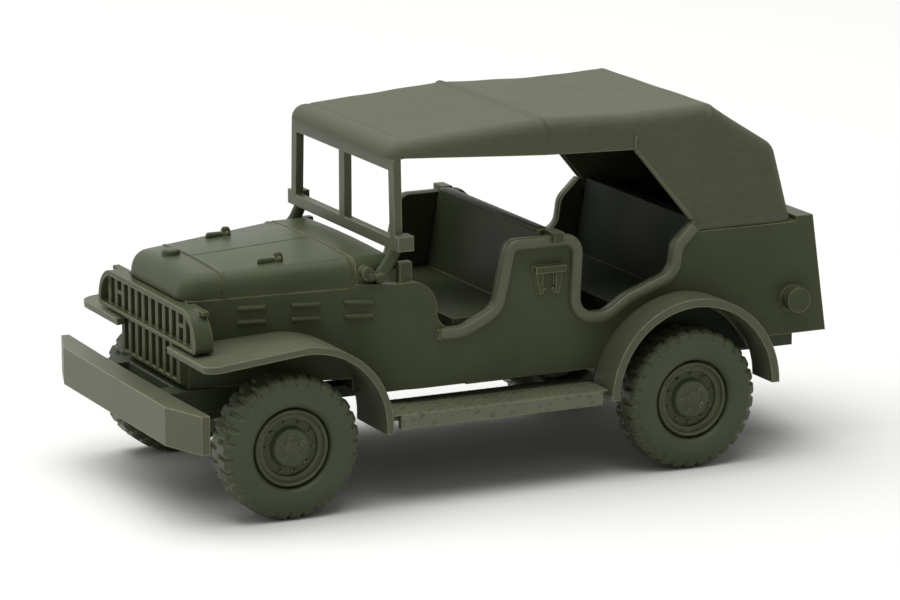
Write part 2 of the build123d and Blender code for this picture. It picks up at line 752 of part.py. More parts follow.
# Front fenders: a curved plate from beside the grille to the apron in front of the running board
# columns: station, height of the upper face, corner radius
FENDER_LINE = [
    (FENDER_FRONT, FENDER_FRONT_Z, 0),
    (APRON, FENDER_TOP, FENDER_BEND_R),
    (APRON, APRON_BOTTOM, 0),
]
for name, side in SIDES.items():
    with BuildPart() as fender:
        with BuildSketch(Plane.YZ.offset(side * FENDER_INNER)):
            with BuildLine():
                FilletPolyline(
                    *[(y, z) for y, z, radius in FENDER_LINE],
                    radius=[radius for y, z, radius in FENDER_LINE[1:-1]],
                )
                offset(amount=FENDER_THICK, side=Side.RIGHT, closed=True)
            make_face()
        extrude(amount=side * (FENDER_HALF - FENDER_INNER))
        front_corners = fender.edges().filter_by(lambda edge: edge.length < 1.1 * FENDER_THICK).sort_by(Axis.Y)[:2]
        fillet(front_corners.sort_by(Axis.X)[-1 if side > 0 else 0], FENDER_CORNER_R)
        # Cut to the body, to the grille's throat and to the apron's inner end
        extrude(plan_outline(-GLUE_GAP, BODY_FLOOR - GLUE_GAP), amount=FAR, mode=Mode.SUBTRACT)
        with Locations((0, GRILLE_FACE - GLUE_GAP, BODY_FLOOR)):
            Box(
                2 * (NOSE_HALF + GLUE_GAP),
                2 * (NOSE - GRILLE_FACE),
                FAR,
                align=(Align.CENTER, Align.MIN, Align.MIN),
                mode=Mode.SUBTRACT,
            )
        with Locations((0, APRON, BODY_FLOOR - GLUE_GAP)):
            Box(
                2 * APRON_INNER,
                4 * FENDER_THICK,
                BODY_FLOOR,
                align=(Align.CENTER, Align.CENTER, Align.MAX),
                mode=Mode.SUBTRACT,
            )
    fender.part.label = f"front_fender_{name}"
    export_step(fender.part, f"parts/front_fender_{name}.step")

# Rear fenders: half rings set against the body side
for name, side in SIDES.items():
    with BuildPart() as arch:
        with BuildSketch(Plane.YZ.offset(side * (BODY_HALF + GLUE_GAP))):
            with Locations((REAR_AXLE, ARCH_Z)):
                Circle(ARCH_R)
                Circle(ARCH_R - ARCH_THICK, mode=Mode.SUBTRACT)
                Rectangle(
                    2 * ARCH_R,
                    ARCH_R,
                    align=(Align.CENTER, Align.MAX),
                    mode=Mode.SUBTRACT,
                )
        extrude(amount=side * (FENDER_HALF - BODY_HALF - GLUE_GAP))
    arch.part.label = f"rear_fender_{name}"
    export_step(arch.part, f"parts/rear_fender_{name}.step")

# Running boards: a tread plate with an outer lip, and a tab at each end to the fenders
board_front = APRON + BOARD_TAB
board_rear = REAR_AXLE - ARCH_R - BOARD_TAB
for name, side in SIDES.items():
    with BuildPart() as board:
        with BuildSketch(Plane.XZ.offset(-board_front)):
            Polygon(
                (side * BOARD_INNER, BOARD_TOP),
                (side * BOARD_HALF, BOARD_TOP),
                (side * BOARD_HALF, BOARD_TOP - BOARD_LIP),
                (side * (BOARD_HALF - BOARD_THICK), BOARD_TOP - BOARD_LIP),
                (side * (BOARD_HALF - BOARD_THICK), BOARD_TOP - BOARD_THICK),
                (side * BOARD_INNER, BOARD_TOP - BOARD_THICK),
                align=None,
            )
        extrude(amount=board_front - board_rear)
        with Locations((side * (BOARD_TAB_X + BOARD_TAB_WIDTH / 2), APRON + GLUE_GAP, BOARD_TOP)):
            Box(
                BOARD_TAB_WIDTH,
                board_rear + BOARD_TAB - APRON - 2 * GLUE_GAP,
                BOARD_THICK,
                align=(Align.CENTER, Align.MIN, Align.MAX),
            )
    board.part.label = f"running_board_{name}"
    export_step(board.part, f"parts/running_board_{name}.step")

# Bumper: a channel swept back at both ends
bumper_front = [
    (-BUMPER_HALF, FRONT_END + BUMPER_SWEEP),
    (-BUMPER_BEND, FRONT_END),
    (BUMPER_BEND, FRONT_END),
    (BUMPER_HALF, FRONT_END + BUMPER_SWEEP),
]
with BuildPart() as bumper:
    with BuildSketch(Plane.XY.offset(BUMPER_BOTTOM)):
        Polygon(
            *bumper_front,
            *[(x, y + BUMPER_THICK) for x, y in reversed(bumper_front)],
            align=None,
        )
    extrude(amount=BUMPER_TOP - BUMPER_BOTTOM)
    with BuildSketch(Plane.XY.offset(BUMPER_TOP)):
        Polygon(
            *bumper_front,
            (BUMPER_HALF, FRONT_END + BUMPER_SWEEP + BUMPER_THICK),
            (BUMPER_FLANGE_HALF, FRONT_END + BUMPER_FLANGE),
            (-BUMPER_FLANGE_HALF, FRONT_END + BUMPER_FLANGE),
            (-BUMPER_HALF, FRONT_END + BUMPER_SWEEP + BUMPER_THICK),
            align=None,
        )
    extrude(amount=-FLANGE_THICK)

bumper.part.label = "bumper"
export_step(bumper.part, "parts/bumper.step")

# Chassis: two rails with horns to the bumper, joined by cross members
# columns: station of the middle, length along the car, bottom, top
CROSS_MEMBERS = [
    (FRONT_END + BUMPER_FLANGE + 0.6, 1.1, PAN_TOP - PAN_THICK, PAN_TOP),
    (FRONT_AXLE - 4.75, 1.1, CROSS_BOTTOM, HORN_TOP),
    (FRONT_AXLE + 8.4, 1.6, RAIL_BOTTOM, BODY_FLOOR - GLUE_GAP),
    (FRONT_AXLE + 17.0, 3.2, RAIL_BOTTOM - GEAR_BLOCK, BODY_FLOOR - GLUE_GAP),
    (REAR_AXLE - 6.5, 1.6, RAIL_BOTTOM, BODY_FLOOR - GLUE_GAP),
    (REAR_AXLE + 9.4, 1.4, RAIL_BOTTOM, REAR_BOTTOM - GLUE_GAP),
]
with BuildPart() as chassis:
    for side in SIDES.values():
        with BuildSketch(Plane.YZ.offset(side * RAIL_INNER)):
            Polygon(
                (FRONT_END + BUMPER_THICK + GLUE_GAP, HORN_BOTTOM),
                (NOSE, HORN_BOTTOM),
                (NOSE, RAIL_BOTTOM),
                (REAR_END - 1.0, RAIL_BOTTOM),
                (REAR_END - 1.0, REAR_BOTTOM - GLUE_GAP),
                (FLOOR_STEP + GLUE_GAP, REAR_BOTTOM - GLUE_GAP),
                (FLOOR_STEP + GLUE_GAP, BODY_FLOOR - GLUE_GAP),
                (HOOD_REAR - 1.0, BODY_FLOOR - GLUE_GAP),
                (HOOD_REAR - 2.0, HORN_TOP),
                (FRONT_END + BUMPER_FLANGE + GLUE_GAP, HORN_TOP),
                (FRONT_END + BUMPER_FLANGE + GLUE_GAP, BUMPER_TOP - FLANGE_THICK - GLUE_GAP),
                (FRONT_END + BUMPER_THICK + GLUE_GAP, BUMPER_TOP - FLANGE_THICK - GLUE_GAP),
                align=None,
            )
        extrude(amount=side * (RAIL_OUTER - RAIL_INNER))
    for station, length, bottom, height in CROSS_MEMBERS:
        with Locations((0, station, bottom)):
            Box(
                2 * RAIL_INNER,
                length,
                height - bottom,
                align=(Align.CENTER, Align.CENTER, Align.MIN),
            )

chassis.part.label = "chassis_frame"
export_step(chassis.part, "parts/chassis_frame.step")

# Wheel section, as distances outwards from its middle plane and radii
bore = PIN_R + GLUE_GAP
tyre_face = TYRE_WIDTH / 2
WHEEL = [
    (CAP_FACE, 0),
    (CAP_FACE, CAP_R),
    (RIM_FACE, CAP_R),
    (RIM_FACE, HUB_R),
    (DISC_FACE, HUB_R + 0.2),
    (DISC_FACE, RING_R - RING_WIDTH),
    (RIM_FACE, RING_R),
    (DISC_FACE, RING_R + RING_WIDTH / 2),
    (tyre_face, RIM_R),
    (tyre_face, TYRE_R - 0.6),
    (tyre_face - 0.4, TYRE_R),
    (0.4 - tyre_face, TYRE_R),
    (-tyre_face, TYRE_R - 0.6),
    (-tyre_face, BACK_R),
    (BACK_FACE, BACK_R),
    (BACK_FACE, bore),
    (BORE_END, bore),
    (BORE_END, 0),
]


def across(points, side):
    """Section points of a wheel placed on one side of the car."""
    return [(side * (TRACK_HALF + distance), radius) for distance, radius in points]


for name, station in {"front": FRONT_AXLE, "rear": REAR_AXLE}.items():
    axle = Plane(origin=(0, station, TYRE_R), x_dir=(1, 0, 0), z_dir=(0, 0, 1))
    tube_half = TRACK_HALF - TYRE_WIDTH / 2 - AXLE_TUBE_GAP
    pin_half = TRACK_HALF + BORE_END - GLUE_GAP

    # Axle carrier: tube with its differential, and a pair of leaf springs up to the rails
    with BuildPart() as carrier:
        with BuildSketch(axle):
            Polygon(
                (tube_half, AXLE_TUBE_R),
                (tube_half, PIN_R + RUNNING_FIT),
                (-tube_half, PIN_R + RUNNING_FIT),
                (-tube_half, AXLE_TUBE_R),
                (-DIFF_R, AXLE_TUBE_R),
                (-DIFF_R / 2, DIFF_R),
                (DIFF_R / 2, DIFF_R),
                (DIFF_R, AXLE_TUBE_R),
                align=None,
            )
        revolve(axis=Axis((0, station, TYRE_R), (1, 0, 0)))
        for side in SIDES.values():
            with BuildSketch(Plane.YZ.offset(side * (RAIL_INNER + RAIL_OUTER - SPRING_WIDTH) / 2)):
                Polygon(
                    (station - SPRING_HALF, SPRING_TOP - SPRING_LEAF),
                    (station - SPRING_SHORT, SPRING_TOP - SPRING_LEAF),
                    (station - SPRING_SHORT, SPRING_TOP - 2 * SPRING_LEAF),
                    (station + SPRING_SHORT, SPRING_TOP - 2 * SPRING_LEAF),
                    (station + SPRING_SHORT, SPRING_TOP - SPRING_LEAF),
                    (station + SPRING_HALF, SPRING_TOP - SPRING_LEAF),
                    (station + SPRING_HALF, RAIL_BOTTOM - GLUE_GAP),
                    (station + SPRING_HALF - SPRING_EYE, RAIL_BOTTOM - GLUE_GAP),
                    (station + SPRING_HALF - SPRING_EYE, SPRING_TOP),
                    (station - SPRING_HALF + SPRING_EYE, SPRING_TOP),
                    (station - SPRING_HALF + SPRING_EYE, RAIL_BOTTOM - GLUE_GAP),
                    (station - SPRING_HALF, RAIL_BOTTOM - GLUE_GAP),
                    align=None,
                )
            extrude(amount=side * SPRING_WIDTH)
    carrier.part.label = f"axle_carrier_{name}"
    export_step(carrier.part, f"parts/axle_carrier_{name}.step")

    with BuildPart() as pin:
        with Locations(axle.location):
            Cylinder(PIN_R, 2 * pin_half, rotation=(0, 90, 0))
    pin.part.label = f"axle_pin_{name}"
    export_step(pin.part, f"parts/axle_pin_{name}.step")

    for hand, side in SIDES.items():
        with BuildPart() as wheel:
            with BuildSketch(axle):
                with BuildLine():
                    Polyline(*across(WHEEL, side), close=True)
                make_face()
            revolve(axis=Axis((0, station, TYRE_R), (1, 0, 0)))
        wheel.part.label = f"wheel_{name}_{hand}"
        export_step(wheel.part, f"parts/wheel_{name}_{hand}.step")

# Floor tray, with the panels that close the wheel wells
with BuildPart() as floor:
    floor_half = BODY_HALF - WALL - FLOOR_SIDE_GAP
    floor_rear = REAR_END - GATE_RISE - WALL - 0.15
    with BuildSketch(Plane.YZ):
        Polygon(
            (COWL_REAR + GLUE_GAP, BODY_FLOOR),
            (FLOOR_STEP, BODY_FLOOR),
            (FLOOR_STEP, REAR_BOTTOM),
            (floor_rear, REAR_BOTTOM),
            (floor_rear, REAR_BOTTOM + FLOOR_THICK),
            (FLOOR_STEP - FLOOR_THICK, REAR_BOTTOM + FLOOR_THICK),
            (FLOOR_STEP - FLOOR_THICK, BODY_FLOOR + FLOOR_THICK),
            (COWL_REAR + GLUE_GAP, BODY_FLOOR + FLOOR_THICK),
            align=None,
        )
    extrude(amount=floor_half, both=True)
    extrude(plan_outline(WALL + FLOOR_SIDE_GAP), amount=FAR, mode=Mode.INTERSECT)
    for side in SIDES.values():
        with BuildSketch(Plane.YZ.offset(side * (floor_half - WELL_PANEL))):
            with Locations((REAR_AXLE, ARCH_Z)):
                Circle(WELL_R + WELL_PANEL)
            with Locations((REAR_AXLE, BODY_FLOOR)):
                Rectangle(
                    4 * WELL_R,
                    4 * WELL_R,
                    align=(Align.CENTER, Align.MAX),
                    mode=Mode.SUBTRACT,
                )
        extrude(amount=side * WELL_PANEL)

floor.part.label = "floor_tray"
export_step(floor.part, "parts/floor_tray.step")

# Bench seats, each one solid moulding with its backrest
# columns: name, front of the cushion, front of the backrest's foot, top of the backrest, half width
SEATS = [
    ("front_bench", PILLAR_FRONT - 2.5, PILLAR_FRONT + 2.8, 16.35, BODY_HALF - WALL - SEAT_SIDE_GAP),
    ("rear_bench", QUARTER - 5.9, QUARTER - 0.8, 16.1, floor_half - WELL_PANEL - FLOOR_SIDE_GAP),
]
for name, cushion_front, back_foot, back_top, half in SEATS:
    floor_top = BODY_FLOOR + FLOOR_THICK + GLUE_GAP
    with BuildPart() as bench:
        with BuildSketch(Plane.YZ):
            Polygon(
                (cushion_front, CUSHION_TOP),
                (cushion_front, CUSHION_TOP - CUSHION_THICK),
                (cushion_front + CUSHION_LIP, CUSHION_TOP - CUSHION_THICK),
                (cushion_front + CUSHION_LIP, floor_top),
                (back_foot + BACK_THICK, floor_top),
                (back_foot + BACK_THICK, CUSHION_TOP),
                (back_foot + BACK_THICK + BACK_LEAN, back_top),
                (back_foot + BACK_LEAN, back_top),
                (back_foot, CUSHION_TOP),
                align=None,
            )
        extrude(amount=half, both=True)
    bench.part.label = name
    export_step(bench.part, f"parts/{name}.step")
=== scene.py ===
import math

import bmesh
import bpy
import numpy as np
from mathutils import Matrix, Vector


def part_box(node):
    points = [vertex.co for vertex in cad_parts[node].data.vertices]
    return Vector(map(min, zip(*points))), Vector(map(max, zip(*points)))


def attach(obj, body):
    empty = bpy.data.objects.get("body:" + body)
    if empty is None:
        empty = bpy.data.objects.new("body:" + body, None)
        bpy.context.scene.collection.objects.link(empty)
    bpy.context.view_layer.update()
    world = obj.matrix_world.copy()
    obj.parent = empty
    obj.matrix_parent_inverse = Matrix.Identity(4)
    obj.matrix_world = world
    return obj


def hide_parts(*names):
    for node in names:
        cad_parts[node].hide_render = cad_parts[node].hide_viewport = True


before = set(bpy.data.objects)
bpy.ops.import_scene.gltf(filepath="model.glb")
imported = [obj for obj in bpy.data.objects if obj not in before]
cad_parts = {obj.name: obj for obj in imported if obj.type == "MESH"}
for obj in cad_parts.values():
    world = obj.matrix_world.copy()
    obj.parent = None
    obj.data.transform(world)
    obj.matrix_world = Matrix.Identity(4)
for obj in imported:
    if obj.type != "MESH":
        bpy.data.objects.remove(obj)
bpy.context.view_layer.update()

# Olive command car moulded in plastic, as a small scale model on a white studio floor.
# Lengths are written in millimetres and turned to metres by MM as a mesh is made.
MM = 0.001

bpy.context.scene.view_settings.view_transform = "Standard"

# Places taken from the solids: X is the car's left, -Y its front, Z up
FRONT_AXLE = -16.05
REAR_AXLE = 12.55
WHEEL_R = 4.65
TRACK_HALF = 9.37
BODY_HALF = 8.3
WINDSCREEN = -7.85
SIDES = {"left": 1, "right": -1}

# Camera: where it stands and how it is turned, at the photograph's viewing angle
CAMERA_PLACE = (0.26068, -0.12544, 0.07716)
CAMERA_AZIMUTH = 64.31
CAMERA_ELEVATION = 12.99
CAMERA_ROLL = -0.05
CAMERA_LENS = 179.9
SENSOR = 36.0


def aim_camera():
    """Camera turned by azimuth, elevation and roll. Back points from the car to it, and right lies level."""
    azimuth, elevation, roll = (math.radians(a) for a in (CAMERA_AZIMUTH, CAMERA_ELEVATION, CAMERA_ROLL))
    back = Vector((
        math.sin(azimuth) * math.cos(elevation),
        -math.cos(azimuth) * math.cos(elevation),
        math.sin(elevation),
    ))
    right = Vector((math.cos(azimuth), math.sin(azimuth), 0))
    up = back.cross(right)
    turned_right = right * math.cos(roll) + up * math.sin(roll)
    turned_up = back.cross(turned_right)
    data = bpy.data.cameras.new("studio_camera")
    data.lens = CAMERA_LENS
    data.sensor_width = SENSOR
    data.clip_start = 0.01
    camera = bpy.data.objects.new("studio_camera", data)
    axes = Matrix((turned_right, turned_up, back)).transposed()
    camera.matrix_world = Matrix.Translation(CAMERA_PLACE) @ axes.to_4x4()
    bpy.context.scene.collection.objects.link(camera)
    bpy.context.scene.camera = camera


aim_camera()


# Colours and nodes

def linear(code):
    """A colour written as an sRGB hex value, as linear red, green, blue and alpha."""
    channels = np.array([int(code[i:i + 2], 16) for i in (1, 3, 5)]) / 255
    low = channels / 12.92
    high = ((channels + 0.055) / 1.055) ** 2.4
    return (*np.where(channels <= 0.04045, low, high), 1.0)


def add_node(tree, kind, settings=(), links=()):
    """Adds one node to a tree, sets its properties and sockets, and joins the sockets that have a source."""
    node = tree.nodes.new(kind)
    for key, value in dict(settings).items():
        if isinstance(key, int) or key in node.inputs.keys():
            node.inputs[key].default_value = value
        else:
            setattr(node, key, value)
    for key, source in dict(links).items():
        tree.links.new(source, node.inputs[key])
    return node


def new_material(name):
    """An empty node material with its output node."""
    material = bpy.data.materials.new(name)
    material.use_nodes = True
    material.node_tree.nodes.clear()
    return material, add_node(material.node_tree, "ShaderNodeOutputMaterial")


# Polystyrene: IOR 1.59, never metallic. A polished mould leaves a soft sheen.
POLYSTYRENE_IOR = 1.59
EDGE_RADIUS = 0.14
CLOUD_SIZE = 5.0
# Size of the patches in the edges' painted highlight and wear
EDGE_PATCH_SIZE = 1.1


def moulded_polystyrene(name, colour, highlight_and_wear_colour, roughness, sheen, grain, grain_depth, flecks):
    """Injection-moulded polystyrene in one colour all through, from a mould with a finely eroded surface.

    To the eye it is olive with a soft sheen. It is a little cloudy over some millimetres, where the plastic
    flowed, and it has a fine grain. Along its edges it is painted paler and browner, in patches: partly a
    painted highlight where rounded edges catch the light, partly thin or rubbed plastic. Flecks are short
    dark streaks along the car, as canvas or a tread pattern leaves them in a mould: length, width and how
    much they darken. Sheen is how strongly the surface reflects, 0.5 for a polished one. Sizes are in
    millimetres.
    """
    material, output = new_material(name)
    tree = material.node_tree
    place = add_node(tree, "ShaderNodeTexCoord").outputs["Object"]
    # Flow clouds in the melt, some 5 mm across
    clouds = add_node(
        tree, "ShaderNodeTexNoise", {"Scale": 1 / (CLOUD_SIZE * MM), "Detail": 3.0, "Roughness": 0.55},
        {"Vector": place}
    )
    cloud_shade = add_node(
        tree, "ShaderNodeMapRange",
        {"From Min": 0.3, "From Max": 0.7, "To Min": 0.9, "To Max": 1.1}, {"Value": clouds.outputs["Fac"]}
    )
    shade = cloud_shade.outputs["Result"]
    # The eroded mould's grain, drawn coarser than the real 0.05 mm so that it shows
    pits = add_node(
        tree, "ShaderNodeTexNoise", {"Scale": 1 / (grain * MM), "Detail": 4.0, "Roughness": 0.6},
        {"Vector": place}
    )
    height = pits.outputs["Fac"]
    if flecks:
        length, width, darkening = flecks
        stretched = add_node(
            tree, "ShaderNodeMapping", {"Scale": (1 / (width * MM), 1 / (length * MM), 1 / (width * MM))},
            {"Vector": place}
        )
        streaks = add_node(
            tree, "ShaderNodeTexNoise", {"Scale": 1.0, "Detail": 2.0}, {"Vector": stretched.outputs["Vector"]}
        )
        mask = add_node(
            tree, "ShaderNodeMapRange",
            {"From Min": 0.44, "From Max": 0.34, "To Min": 1.0, "To Max": 1.0 - darkening},
            {"Value": streaks.outputs["Fac"]}
        )
        shade = add_node(
            tree, "ShaderNodeMath", {"operation": "MULTIPLY"}, {0: shade, 1: mask.outputs["Result"]}
        ).outputs["Value"]
        height = add_node(
            tree, "ShaderNodeMath", {"operation": "ADD"}, {0: height, 1: mask.outputs["Result"]}
        ).outputs["Value"]
    body = add_node(
        tree, "ShaderNodeVectorMath", {"operation": "SCALE", 0: linear(colour)[:3]}, {"Scale": shade}
    )
    # Rounded edges: the mould's own small radius, from which the edges' painted highlight and wear are read
    # too
    rounded = add_node(tree, "ShaderNodeBevel", {"samples": 6, "Radius": EDGE_RADIUS * MM})
    facing = add_node(tree, "ShaderNodeNewGeometry").outputs["Normal"]
    turn = add_node(
        tree, "ShaderNodeVectorMath", {"operation": "DOT_PRODUCT"}, {0: rounded.outputs["Normal"], 1: facing}
    )
    edge = add_node(
        tree, "ShaderNodeMapRange",
        {"From Min": 0.995, "From Max": 0.85, "To Min": 0.0, "To Max": 1.5}, {"Value": turn.outputs["Value"]}
    )
    edge_patches = add_node(
        tree, "ShaderNodeTexNoise", {"Scale": 1 / (EDGE_PATCH_SIZE * MM), "Detail": 2.0}, {"Vector": place}
    )
    # Edges painted paler in patches: a painted highlight, with some wear
    highlight_and_wear = add_node(
        tree, "ShaderNodeMath", {"operation": "MULTIPLY", "use_clamp": True},
        {0: edge.outputs["Result"], 1: edge_patches.outputs["Fac"]}
    )
    edge_lit_and_worn = add_node(
        tree, "ShaderNodeMix", {"data_type": "RGBA", "B": linear(highlight_and_wear_colour)},
        {"Factor": highlight_and_wear.outputs["Value"], "A": body.outputs["Vector"]}
    )
    relief = add_node(
        tree, "ShaderNodeBump", {"Strength": 1.0, "Distance": grain_depth * MM},
        {"Height": height, "Normal": rounded.outputs["Normal"]}
    )
    gloss = add_node(
        tree, "ShaderNodeMapRange",
        {"From Min": 0.3, "From Max": 0.7, "To Min": roughness - 0.05, "To Max": roughness + 0.06},
        {"Value": clouds.outputs["Fac"]}
    )
    plastic = add_node(
        tree, "ShaderNodeBsdfPrincipled",
        {"IOR": POLYSTYRENE_IOR, "Specular IOR Level": sheen, "Metallic": 0.0},
        {"Base Color": edge_lit_and_worn.outputs["Result"], "Roughness": gloss.outputs["Result"],
         "Normal": relief.outputs["Normal"]}
    )
    tree.links.new(plastic.outputs["BSDF"], output.inputs["Surface"])
    return material


# One olive plastic, in finishes for its parts: the body from a smooth mould; the top, rough and streaked like
# canvas;
# boards with a pressed tread; the inside darker, as painted shade; fenders, bumper and windscreen frame
# paler, partly the moulding's own shade and partly painted light; beads and hems paler, as a painted
# highlight; wheels and axles a little deeper in colour
# columns: place, colour, colour of the edges' painted highlight and wear, roughness, sheen, grain, depth of
# the grain, flecks
FINISHES = [
    ("body", "#454b36", "#8f8c64", 0.34, 0.06, 0.16, 0.012, None),
    ("top", "#464a34", "#84815a", 0.66, 0.30, 0.20, 0.020, (0.7, 0.2, 0.14)),
    ("boards", "#5a5d46", "#83805a", 0.50, 0.40, 0.16, 0.020, (0.5, 0.25, 0.45)),
    # Painted shade: the inside is the body's plastic, darkened where little light reaches
    ("inside", "#262d20", "#5c5b43", 0.60, 0.08, 0.16, 0.012, None),
    # Paler than the body: partly the moulding's own shade, partly painted light on faces that catch it
    ("fenders", "#505240", "#98956e", 0.42, 0.20, 0.16, 0.012, None),
    # Painted highlight: beads, studs, hem and flash paler than the body, as raised trim catches the light
    ("rubbed", "#52563f", "#8f8c66", 0.40, 0.25, 0.16, 0.012, None),
    ("wheels", "#434a37", "#8d8a66", 0.38, 0.15, 0.14, 0.010, None),
    ("axles", "#394030", "#6c6a4e", 0.50, 0.15, 0.16, 0.012, None),
]
plastic = {place: moulded_polystyrene(f"moulded_polystyrene_{place}", *values) for place, *values in FINISHES}


# Surfaces

def unit(vectors):
    """Vectors along the last axis, each brought to length 1."""
    return vectors / np.maximum(np.linalg.norm(vectors, axis=-1, keepdims=True), 1e-12)


def rounded_line(table, steps=6):
    """A line through a table of corners, each rounded by an arc of the radius in its last column.

    With b half the angle between a corner's two runs, the arc starts radius / tan b before the corner, its
    centre lies radius / sin b along the bisector, and it turns evenly from its start to its end.
    """
    table = np.asarray(table, float)
    corners = table[:, :-1]
    radius = table[1:-1, -1:]
    corner = corners[1:-1]
    before = unit(corners[:-2] - corner)
    after = unit(corners[2:] - corner)
    half = np.arccos(np.clip(np.sum(before * after, axis=1, keepdims=True), -1, 1)) / 2
    centre = corner + unit(before + after) * radius / np.sin(half)
    start = corner + before * radius / np.tan(half) - centre
    end = corner + after * radius / np.tan(half) - centre
    turn = (np.pi - 2 * half)[:, None]
    t = np.linspace(0, 1, steps)[None, :, None]
    arcs = (np.sin((1 - t) * turn) * start[:, None] + np.sin(t * turn) * end[:, None]) / np.sin(turn)
    arcs = (centre[:, None] + arcs).reshape(-1, corners.shape[1])
    return np.vstack([corners[:1], arcs, corners[-1:]])


def resampled(path, shares):
    """A path at given shares of its length, from 0 to 1."""
    steps = np.linalg.norm(np.diff(path, axis=0), axis=1)
    path = path[np.concatenate([[True], steps > 1e-9])]
    length = np.concatenate([[0], np.cumsum(np.linalg.norm(np.diff(path, axis=0), axis=1))])
    return np.stack([np.interp(shares * length[-1], length, column) for column in path.T], axis=1)


def bump(value, middle, width):
    """A smooth bump of height 1: exp(-((value - middle) / width)^2)."""
    return np.exp(-((value - middle) / width) ** 2)


def ramp(value, start, end):
    """A share that goes evenly from 0 at a start to 1 at an end, and stays there."""
    return np.clip((value - start) / (end - start), 0, 1)


def grid_faces(rows, columns, closed, first):
    """Corner numbers of the quads of a grid of rows and columns, joined round its columns where closed."""
    numbers = first + np.arange(rows * columns).reshape(rows, columns)
    if closed:
        numbers = np.hstack([numbers, numbers[:, :1]])
    return np.stack(
        [numbers[:-1, :-1], numbers[:-1, 1:], numbers[1:, 1:], numbers[1:, :-1]], axis=-1
    ).reshape(-1, 4)


def walled(outer, inner):
    """Joins two skins into one closed wall.

    Each row runs along the outer skin and back along the inner one. One more row at each end, with both skins
    brought together, closes the rim there.
    """
    outer = np.concatenate([inner[:1], outer, inner[-1:]])
    inner = np.concatenate([inner[:1], inner, inner[-1:]])
    return np.concatenate([outer, inner[:, ::-1]], axis=1)


def surface(name, grids, material, body, closed=True, sharp=35, replaced=()):
    """Makes one piece from grids of points in millimetres, and rides it on a body.

    Each grid has rows of points; closed grids join their last column to their first. Rows that shrink to a
    point are merged into a pole, and the normals are turned outwards.
    """
    points = []
    faces = []
    total = 0
    for grid in grids:
        rows, columns = grid.shape[:2]
        points.append(grid.reshape(-1, 3) * MM)
        faces.append(grid_faces(rows, columns, closed, total))
        total += rows * columns
    points = np.vstack(points)
    faces = np.vstack(faces)
    mesh = bpy.data.meshes.new(name)
    mesh.from_pydata(points.tolist(), [], faces.tolist())
    shape = bmesh.new()
    shape.from_mesh(mesh)
    bmesh.ops.remove_doubles(shape, verts=shape.verts, dist=1e-7)
    bmesh.ops.dissolve_degenerate(shape, edges=shape.edges, dist=1e-7)
    bmesh.ops.recalc_face_normals(shape, faces=shape.faces)
    shape.to_mesh(mesh)
    shape.free()
    mesh.shade_smooth()
    mesh.set_sharp_from_angle(angle=math.radians(sharp))
    mesh.materials.append(material)
    piece = bpy.data.objects.new(name, mesh)
    bpy.context.scene.collection.objects.link(piece)
    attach(piece, body)
    if replaced:
        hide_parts(*replaced)
    return piece


def moulded_bar(path, outward, width, height, squareness=3.0, along=28, around=16):
    """A bar with a superellipse section carried along a path, rounded off at both ends.

    A point is path + side * width / 2 * c + outward * height / 2 * s, where c and s are the cosine and sine
    of the section's angle raised to 2 / squareness, each with its sign. Within half a width of an end, the
    section shrinks as a circle does, to a point. Places along the path crowd towards its ends.
    """
    share = (1 - np.cos(np.linspace(0, np.pi, along))) / 2
    path = np.asarray(path, float)
    line = resampled(path, share)
    length = np.linalg.norm(np.diff(path, axis=0), axis=1).sum()
    forward = unit(np.gradient(line, axis=0))
    side = unit(np.cross(forward, outward))
    rise = np.cross(side, forward)
    end = np.minimum(share, 1 - share) * length / (width / 2)
    size = np.sqrt(1 - (1 - np.clip(end, 0, 1)) ** 2)[:, None, None]
    angle = np.linspace(0, 2 * np.pi, around, endpoint=False)[None, :, None]
    c = np.sign(np.cos(angle)) * np.abs(np.cos(angle)) ** (2 / squareness)
    s = np.sign(np.sin(angle)) * np.abs(np.sin(angle)) ** (2 / squareness)
    return line[:, None] + size * (side[:, None] * width / 2 * c + rise[:, None] * height / 2 * s)


def turned_knob(centre, radius, height, rounding, axis=(0, 0, 1), segments=28):
    """A round knob: a line of radius and height, rounded at its rim, turned about an axis at its centre."""
    line = rounded_line([(radius, -height, 0), (radius, height, rounding), (0, height, 0)], 7)
    axis = np.asarray(axis, float)
    first = unit(np.cross(axis, (0.3, 1.0, 0.2)))
    second = np.cross(axis, first)
    turn = np.linspace(0, 2 * np.pi, segments, endpoint=False)[None, :, None]
    ring = first * np.cos(turn) + second * np.sin(turn)
    grid = np.asarray(centre) + line[:, :1, None] * ring + line[:, 1:, None] * axis
    foot = np.broadcast_to(np.asarray(centre) - height * axis, grid[:1].shape)
    return np.concatenate([foot, grid])


# Wheels, each moulded in one piece with its tyre

LUGS = 30
LUG_STEPS = 14
GROOVE_DEPTH = 0.17
GROOVE_SHARE = 0.27

# Outer face of the wheel, from its centre to the tyre
# columns: distance outwards from the wheel's middle plane, radius, corner radius
DISC_LINE = [
    (1.22, 0.0, 0),
    (1.20, 0.40, 0.03),
    (1.10, 0.46, 0.03),
    (1.08, 1.12, 0.06),
    (0.98, 1.22, 0.05),
    (0.54, 1.34, 0.06),
    (0.50, 1.84, 0.05),
    (0.80, 1.90, 0.04),
    (0.84, 2.10, 0.03),
    (0.76, 2.14, 0.02),
    (0.76, 2.20, 0.02),
    (0.98, 2.26, 0.05),
    (1.10, 2.36, 0.06),
    (1.02, 2.48, 0.05),
    (0.56, 2.54, 0.03),
    (0.54, 2.60, 0.03),
    (1.12, 2.66, 0.10),
]
